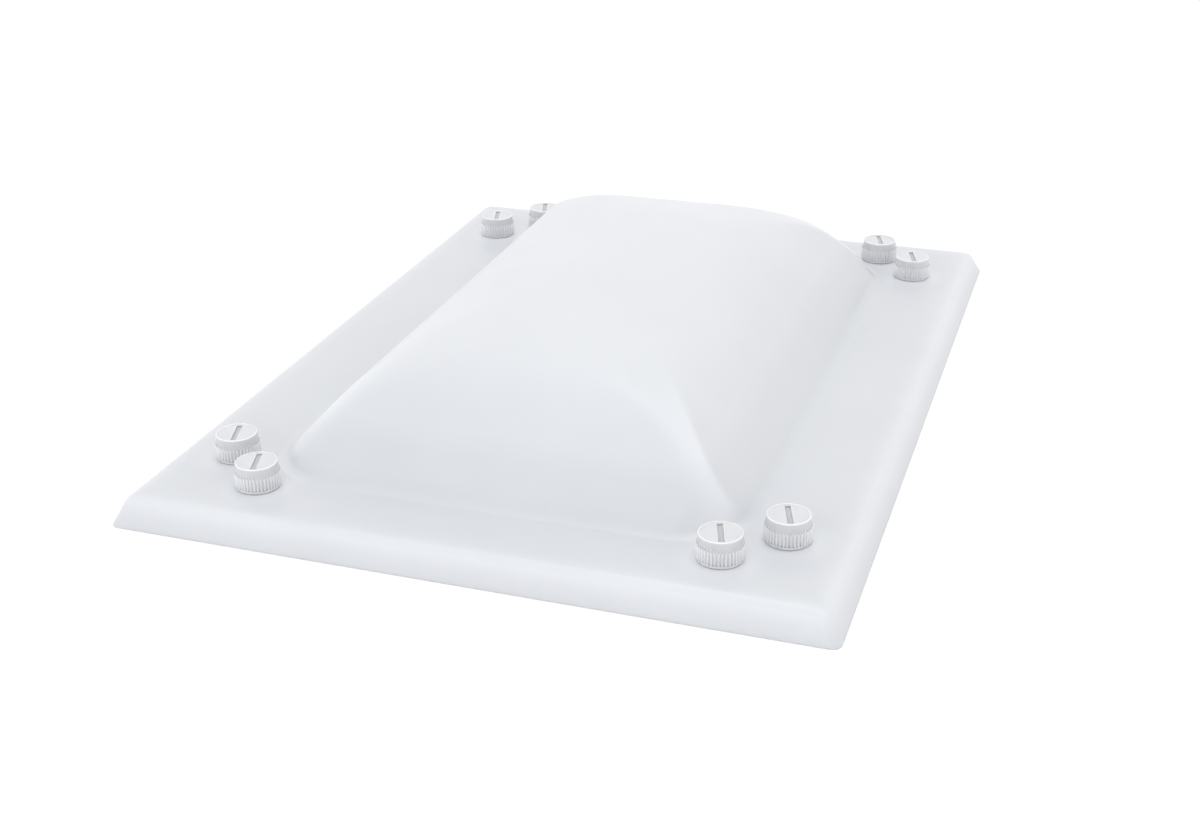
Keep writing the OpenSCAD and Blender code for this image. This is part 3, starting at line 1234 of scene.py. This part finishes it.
@dataclass
class ScrewCap:
    """Ribbed screw cap with a raised rim, a sunk disc and a coin slot. Heights start at the skin."""

    low: float = 2.4 * MM
    high: float = 22 * MM
    body: float = 17.4 * MM
    top: float = 17.1 * MM
    rib_out: float = 1.4 * MM
    ribs: int = 40
    rib_top: float = 15 * MM
    rib_slope: float = 1.6 * MM
    rib_draft: float = 0.22 * MM
    rib_root: float = 0.12 * MM
    rib_near: float = 0.6 * MM
    bore: float = 14.06 * MM
    roof: float = 18.2 * MM
    rim: float = 1.1 * MM
    rim_round: float = 0.8 * MM
    sunk: float = 0.7 * MM
    slot_width: float = 4.6 * MM
    slot_length: float = 28 * MM
    slot_depth: float = 1.4 * MM
    slot_cutter: float = 4 * MM
    slot_turn: float = radians(17.5)
    slot_round: float = 0.3 * MM
    edge_round: float = 0.22 * MM
    margin: float = 0.5 * MM
    slope_out: float = 0.1 * MM
    groove_share: float = 0.6
    # Painted light on the top disc, and on the rim and the grooves.
    disc_soft: float = 0.2
    rim_soft: float = 0.65

    def build(self) -> bpy.types.Object:
        """Builds one cap on the origin's axis."""
        bench = Bench.round_bar("ribbed_cap", 4 * self.ribs, self.body, self.low, self.high, self.slot_turn)
        bench.slice_level(self.rib_top)
        bench.slice_level(self.rib_top - self.rib_slope)
        self.shape_top(bench)
        self.raise_ribs(bench)
        self.hollow(bench)
        bench.round_edges(self.edge_round)
        self.cut_slot(bench)
        piece = bench.finish()
        self.mark_faces(piece)
        return piece

    def shape_top(self, bench: Bench) -> None:
        """Tapers the plain part, rounds its shoulder, and makes the rim and the sunk disc."""
        bench.pick_points(lambda point: point.z > self.high - SAME_LEVEL)
        bench.grow(self.top / self.body, self.top / self.body, 1, Vector((0, 0, self.high)))
        bench.pick_edges(lambda first, second: min(first.z, second.z) > self.high - SAME_LEVEL)
        bpy.ops.mesh.bevel(affect="EDGES", offset=self.rim_round, segments=4)
        bench.pick_level(self.high)
        bench.inset(self.rim - self.rim_round)
        bench.pull(-self.sunk)

    def raise_ribs(self, bench: Bench) -> None:
        """Raises every second pair of side flats into a rib with a sloping top."""
        pitch = 2 * pi / self.ribs

        def in_rib(middle: Vector, normal: Vector) -> bool:
            """Returns whether a side flat is part of a rib."""
            turn = (atan2(middle.y, middle.x) - self.slot_turn) % pitch
            return abs(normal.z) < 0.3 and middle.z < self.rib_top and turn < pitch / 2

        bench.pick_faces(in_rib)
        bpy.ops.mesh.inset(thickness=self.rib_draft, depth=self.rib_out, use_even_offset=True)
        half_out = self.body + self.rib_out / 2
        for height in (self.low, self.rib_top):
            bench.pick_points(lambda point: reach(point) > half_out and abs(point.z - height) < self.rib_near)
            bench.grow(1, 1, 0, Vector((0, 0, height)))
        bench.pick_points(lambda point: reach(point) > half_out and point.z > self.rib_top - SAME_LEVEL)
        drawn = (self.body + self.rib_root) / (self.body + self.rib_out)
        bench.grow(drawn, drawn, 1)

    def hollow(self, bench: Bench) -> None:
        """Sinks the threaded bore from below."""
        bench.pick_level(self.low, up=False, within=ON_AXIS)
        bench.inset(self.body - self.bore)
        bench.pull(self.roof - self.low)

    def cut_slot(self, bench: Bench) -> None:
        """Cuts the coin slot, with softened edges."""
        floor = self.high - self.sunk - self.slot_depth
        size = Vector((self.slot_width, self.slot_length, self.slot_cutter))
        cutter = Bench.block("slot_cutter", size, Vector((0, 0, floor + size.z / 2)), self.slot_turn)
        cutter.round_edges(self.slot_round)
        bench.combine(cutter, "DIFFERENCE")

    def mark_faces(self, piece: bpy.types.Object) -> None:
        """Marks the faces that get painted light (a painted highlight on the rim, a paler sunk disc on top,
        grooves lifted against their shade) and painted shade (in the slot, and on the rib slopes where light
        falls).
        """
        soft = piece.data.attributes.new("soft_face", "FLOAT", "FACE")
        deep = piece.data.attributes.new("deep_face", "FLOAT", "FACE")
        disc = self.high - self.sunk
        for face, painted_light_mark, painted_shade_mark in zip(piece.data.polygons, soft.data, deep.data):
            level, far = face.center.z, reach(face.center)
            inside = far < self.top - self.rim and level > self.roof + self.margin
            rim = level > self.high - self.margin
            ribbed = level < self.rib_top
            slope = ribbed and level > self.rib_top - self.rib_slope and far > self.body + self.slope_out
            groove = ribbed and not slope and far < self.body + self.groove_share * self.rib_out
            # Painted light: the top disc, a painted highlight on the rim, the grooves lifted against their
            # shade.
            painted_light_mark.value = self.disc_soft if inside else self.rim_soft if rim or groove else 0.0
            # Painted shade in the slot and on the rib slopes.
            painted_shade_mark.value = 1.0 if slope or (inside and level < disc - SAME_LEVEL) else 0.0


@dataclass
class CapBase:
    """Cap base: a rim over the washer and a threaded neck that the screw's head sits in."""

    low: float = 0.6 * MM
    rim: float = 18.2 * MM
    rim_top: float = 2.4 * MM
    neck: float = 14 * MM
    neck_top: float = 16.8 * MM
    neck_bore: float = 10.8 * MM
    seat: float = 5 * MM
    washer: float = 15 * MM
    washer_top: float = 1.6 * MM
    hole: float = 2.9 * MM
    thread_depth: float = 0.85 * MM
    thread_foot: float = 2.3 * MM
    thread_root: float = 0.25 * MM
    thread_play: float = 0.03 * MM
    thread_low: float = 4.1 * MM
    thread_high: float = 15.2 * MM
    pitch: float = 4 * MM
    edge_round: float = 0.2 * MM

    def build(self) -> bpy.types.Object:
        """Builds one cap base on the origin's axis."""
        core = self.neck - self.thread_depth
        bench = Bench.round_bar("cap_seat", 96, self.rim, self.low, self.rim_top)
        bench.pick_level(self.rim_top)
        bench.inset(self.rim - core)
        bench.pull(self.neck_top - self.rim_top)
        bench.inset(core - self.neck_bore)
        bench.pull(self.seat - self.neck_top)
        bench.pick_level(self.low, up=False)
        bench.inset(self.rim - self.washer)
        bench.pull(self.washer_top - self.low)
        bench.through_hole(self.washer_top, self.seat, self.hole, (self.washer, self.neck_bore))
        bench.round_edges(self.edge_round)
        turns = (self.thread_high - self.thread_low) / self.pitch
        foot, crest = core - self.thread_root, self.neck - self.thread_play
        ridge = thread_ridge("neck_thread", foot, crest, self.thread_foot, self.thread_low, turns, self.pitch)
        bench.combine(ridge, "UNION")
        return bench.finish()


@dataclass
class FixingScrew:
    """Pan-head screw with a cross recess, a plain neck, a coarse thread and a point."""

    seat: float = 5 * MM
    head: float = 5.5 * MM
    head_height: float = 3.6 * MM
    head_round: float = 1.7 * MM
    plain: float = 2.2 * MM
    neck_cone: float = 0.4 * MM
    thread: float = 2.5 * MM
    thread_depth: float = 0.6 * MM
    thread_root: float = 0.3 * MM
    thread_play: float = 0.02 * MM
    thread_foot: float = 1.1 * MM
    thread_low: float = -15.6 * MM
    thread_high: float = -4.6 * MM
    thread_top: float = -3.6 * MM
    tip: float = 0.3 * MM
    point_low: float = -20 * MM
    point_length: float = 5 * MM
    pitch: float = 2.2 * MM
    recess: float = 6 * MM
    wing: float = 1.3 * MM
    recess_depth: float = 2.2 * MM
    recess_taper: float = 0.55
    edge_round: float = 0.15 * MM

    def build(self) -> bpy.types.Object:
        """Builds one screw on the origin's axis."""
        core = self.thread - self.thread_depth
        top = self.seat + self.head_height
        bench = Bench.round_bar("fixing_screw", 64, self.head, self.seat, top)
        bench.pick_edges(lambda first, second: min(first.z, second.z) > top - SAME_LEVEL)
        bpy.ops.mesh.bevel(affect="EDGES", offset=self.head_round, segments=5)
        bench.pick_level(self.seat, up=False)
        bench.inset(self.head - self.plain)
        bench.pull(self.thread_top + self.neck_cone - self.seat)
        bench.pull(-self.neck_cone)
        bench.grow(core / self.plain, core / self.plain, 1)
        bench.pull(self.point_low + self.point_length - self.thread_top)
        bench.pull(-self.point_length)
        bench.grow(self.tip / core, self.tip / core, 1)
        bench.round_edges(self.edge_round)
        turns = (self.thread_high - self.thread_low) / self.pitch
        foot, crest = core - self.thread_root, self.thread - self.thread_play
        low = self.thread_low
        ridge = thread_ridge("screw_thread", foot, crest, self.thread_foot, low, turns, self.pitch)
        bench.combine(ridge, "UNION")
        for turn in (0.0, pi / 2):
            size = Vector((self.recess, self.wing, 2 * self.recess_depth))
            wing = Bench.block("recess_wing", size, Vector((0, 0, top)), turn)
            wing.pick_points(lambda point: point.z < top - self.recess_depth + SAME_LEVEL)
            wing.grow(self.recess_taper, self.recess_taper, 1)
            bench.combine(wing, "DIFFERENCE")
        return bench.finish()


@dataclass
class SealWasher:
    """Rubber washer with rounded edges and a raised ring on both faces."""

    radius: float = 15 * MM
    thickness: float = 1.6 * MM
    hole: float = 2.9 * MM
    squeeze: float = 0.05 * MM
    ring: float = 2.2 * MM
    groove: float = 0.25 * MM
    edge_round: float = 0.1 * MM

    def build(self) -> bpy.types.Object:
        """Builds one washer on the origin's axis."""
        edge = self.radius - self.squeeze
        bench = Bench.round_bar("seal_ring", 96, edge, 0, self.thickness)
        for height, up, depth in ((self.thickness, True, -self.groove), (0.0, False, self.groove)):
            bench.pick_level(height, up)
            bench.inset(self.ring)
            bench.pull(depth)
        bench.through_hole(self.groove, self.thickness - self.groove, self.hole, (edge - self.ring,) * 2)
        bench.round_edges(self.edge_round)
        return bench.finish()


@dataclass
class CapLiner:
    """Rubber disc under the cap's roof, with a pressed ring where it meets the neck's rim."""

    radius: float = 13.2 * MM
    low: float = 16.8 * MM
    high: float = 18.2 * MM
    ring: float = 2.6 * MM
    recess: float = 0.35 * MM
    edge_round: float = 0.12 * MM

    def build(self) -> bpy.types.Object:
        """Builds one liner on the origin's axis."""
        bench = Bench.round_bar("liner_disc", 96, self.radius, self.low, self.high)
        bench.pick_level(self.low, up=False)
        bench.inset(self.ring)
        bench.pull(self.recess)
        bench.round_edges(self.edge_round)
        return bench.finish()


class Layer(Enum):
    """The pieces of one fixing, as node prefix, piece name and material slot."""

    WASHER = ("seal_washer", "washer_ring", "seal_rubber")
    BASE = ("cap_base", "threaded_base", "cap_base_plastic")
    SCREW = ("screw", "steel_screw", "screw_steel")
    LINER = ("cap_liner", "liner_disc", "seal_rubber")
    CAP = ("cap", "ribbed_cap", "cap_plastic")

    @property
    def node(self) -> str:
        """Start of the node's name."""
        return self.value[0]

    @property
    def title(self) -> str:
        """Start of the piece's name."""
        return self.value[1]

    @property
    def slot(self) -> str:
        """The record's material slot."""
        return self.value[2]

    def body(self, place: str) -> str:
        """Returns the body that this piece of a fixing rides on."""
        if self is Layer.CAP:
            return f"screw_cap_{place}"
        return f"liner_{place}" if self is Layer.LINER else "skylight"


@dataclass
class CappedFixings:
    """The eight capped fixings: each layer is modelled once and copied to every place."""

    skin_top: float

    def places(self) -> list[str]:
        """Returns the name of each fixing's place."""
        start = f"{Layer.BASE.node}_"
        return sorted(name[len(start) :] for name in frame["nodes"] if name.startswith(start))

    def spot(self, place: str) -> Vector:
        """Returns the top of the skin on a fixing's axis."""
        low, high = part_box(f"{Layer.BASE.node}_{place}")
        return Vector(((low.x + high.x) / 2, (low.y + high.y) / 2, self.skin_top))

    def copy_to(self, master: bpy.types.Object, name: str, spot: Vector) -> bpy.types.Object:
        """Copies a master to a fixing, with a mesh of its own.

        Args:
            master: The finished piece on the origin's axis.
            name: The copy's name.
            spot: Where it goes.

        Returns:
            The copy, whose place is in its mesh.
        """
        clear_bench()
        master.select_set(True)
        bpy.context.view_layer.objects.active = master
        bpy.ops.object.duplicate(linked=False)
        copy = bpy.context.object
        copy.name = name
        copy.data.name = name
        bpy.ops.transform.translate(value=spot)
        bpy.ops.object.transform_apply(location=True, rotation=True, scale=True)
        return copy

    def build(self, finishes: dict[str, bpy.types.Material]) -> None:
        """Builds every fixing and dresses it.

        Args:
            finishes: The materials by slot.
        """
        makers = {
            Layer.WASHER: SealWasher(),
            Layer.BASE: CapBase(),
            Layer.SCREW: FixingScrew(),
            Layer.LINER: CapLiner(),
            Layer.CAP: ScrewCap(),
        }
        for layer, maker in makers.items():
            master = maker.build()
            for place in self.places():
                piece = self.copy_to(master, f"{layer.title}_{place}", self.spot(place))
                dress(piece, finishes[layer.slot], layer.slot, layer.body(place), f"{layer.node}_{place}")
            clear_bench()
            master.select_set(True)
            bpy.ops.object.delete()


# --------------------------------------------------------------------------------------------
# Studio
# --------------------------------------------------------------------------------------------


@dataclass
class Studio:
    """Plain pale floor, soft light from above and the camera."""

    azimuth: float = radians(18.915)
    elevation: float = radians(25.709)
    roll: float = radians(-0.734)
    distance: float = 1.5047
    target: Vector = Vector((0.01699, -0.09227, 0.0))
    lens: float = 49.79
    sensor: float = 36
    sight: float = 60
    surround: float = 1.1
    box_power: float = 8
    floor_size: float = 40
    floor_gap: float = 0.2 * MM

    def lay_floor(self) -> None:
        """Lays the floor."""
        clear_bench()
        bpy.ops.mesh.primitive_grid_add(size=self.floor_size, location=(0, 0, -self.floor_gap))
        floor = Bench("studio_floor").thing
        floor.data.materials.append(PaleFloor().material())
        floor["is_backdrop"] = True

    def hang_light(self, name: str, place: Vector, size: tuple[float, float]) -> None:
        """Hangs one soft box, which looks at the origin.

        Args:
            name: Name of the light.
            place: Where it hangs.
            size: Its width and height.
        """
        lamp = bpy.data.lights.new(name, "AREA")
        lamp.shape = "RECTANGLE"
        lamp.size, lamp.size_y = size
        lamp.energy = self.box_power
        box = bpy.data.objects.new(name, lamp)
        box.location = place
        box.rotation_euler = place.to_track_quat("Z", "Y").to_euler()
        bpy.context.scene.collection.objects.link(box)

    def light(self) -> None:
        """Sets the soft surround and the two soft boxes."""
        world = bpy.data.worlds.new("studio_surround")
        world.use_nodes = True
        surround = world.node_tree.nodes["Background"].inputs
        surround["Color"].default_value = (1.0, 1.0, 1.0, 1.0)
        surround["Strength"].default_value = self.surround
        bpy.context.scene.world = world
        self.hang_light("top_box", Vector((0.3, 0.4, 2.5)), (2.4, 0.9))
        self.hang_light("front_box", Vector((-0.5, -2.4, 1.1)), (2.0, 1.0))

    def set_camera(self) -> None:
        """Sets the camera, from its angles round the target."""
        back = Vector(
            (
                sin(self.azimuth) * cos(self.elevation),
                -cos(self.azimuth) * cos(self.elevation),
                sin(self.elevation),
            )
        )
        across = Vector((0, 0, 1)).cross(back).normalized()
        up = back.cross(across)
        right = across * cos(self.roll) + up * sin(self.roll)
        top = up * cos(self.roll) - across * sin(self.roll)
        turn = Matrix((right, top, back)).transposed().to_4x4()
        data = bpy.data.cameras.new("studio_camera")
        data.lens = self.lens
        data.sensor_width = self.sensor
        data.clip_end = self.sight
        camera = bpy.data.objects.new("studio_camera", data)
        camera.matrix_world = Matrix.Translation(self.target + back * self.distance) @ turn
        bpy.context.scene.collection.objects.link(camera)
        bpy.context.scene.camera = camera

    def build(self) -> None:
        """Sets up the whole studio."""
        bpy.context.scene.view_settings.view_transform = "Standard"
        self.set_camera()
        self.light()
        self.lay_floor()


def plain(corners: Sequence[Any]) -> list[list[float]]:
    """Returns a box's corners as plain lists."""
    return [[float(value) for value in corner] for corner in corners]


def main() -> None:
    """Builds the rooflight and its studio."""
    logging.basicConfig(level=logging.INFO, format="%(name)s: %(message)s")
    frame_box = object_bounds()
    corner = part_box("dome_skin")[1]
    skin = FormedSkin(half_width=corner.x, half_length=corner.y)
    fixings = CappedFixings(skin_top=skin.lip_height)
    spots = [fixings.spot(place) for place in fixings.places()]
    finishes = {
        "opal_skin": OpalAcrylic(tuple(spots)).material(),
        "cap_plastic": MouldedPlastic(
            "cap_plastic",
            body=(0.575, 0.582, 0.600),
            pale=(0.610, 0.617, 0.635),
            # Painted light tone.
            soft=(0.800, 0.807, 0.827),
            # Painted shade tone.
            deep=(0.500, 0.505, 0.520),
            rough=0.40,
        ).material(),
        "cap_base_plastic": MouldedPlastic(
            "base_plastic",
            body=(0.68, 0.685, 0.705),
            pale=(0.73, 0.735, 0.755),
            # Painted light tone.
            soft=(0.70, 0.705, 0.725),
            # Painted shade tone.
            deep=(0.50, 0.505, 0.52),
            rough=0.5,
        ).material(),
        "seal_rubber": SealRubber().material(),
        "screw_steel": DrawnSteel().material(),
    }
    piece = skin.build(spots)
    dress(piece, finishes["opal_skin"], "opal_skin", "skylight", "dome_skin")
    fixings.build(finishes)
    Studio().build()
    clear_bench()
    json.dumps({"frame": plain(frame_box), "visual": plain(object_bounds())})


if __name__ == "__main__":
    main()
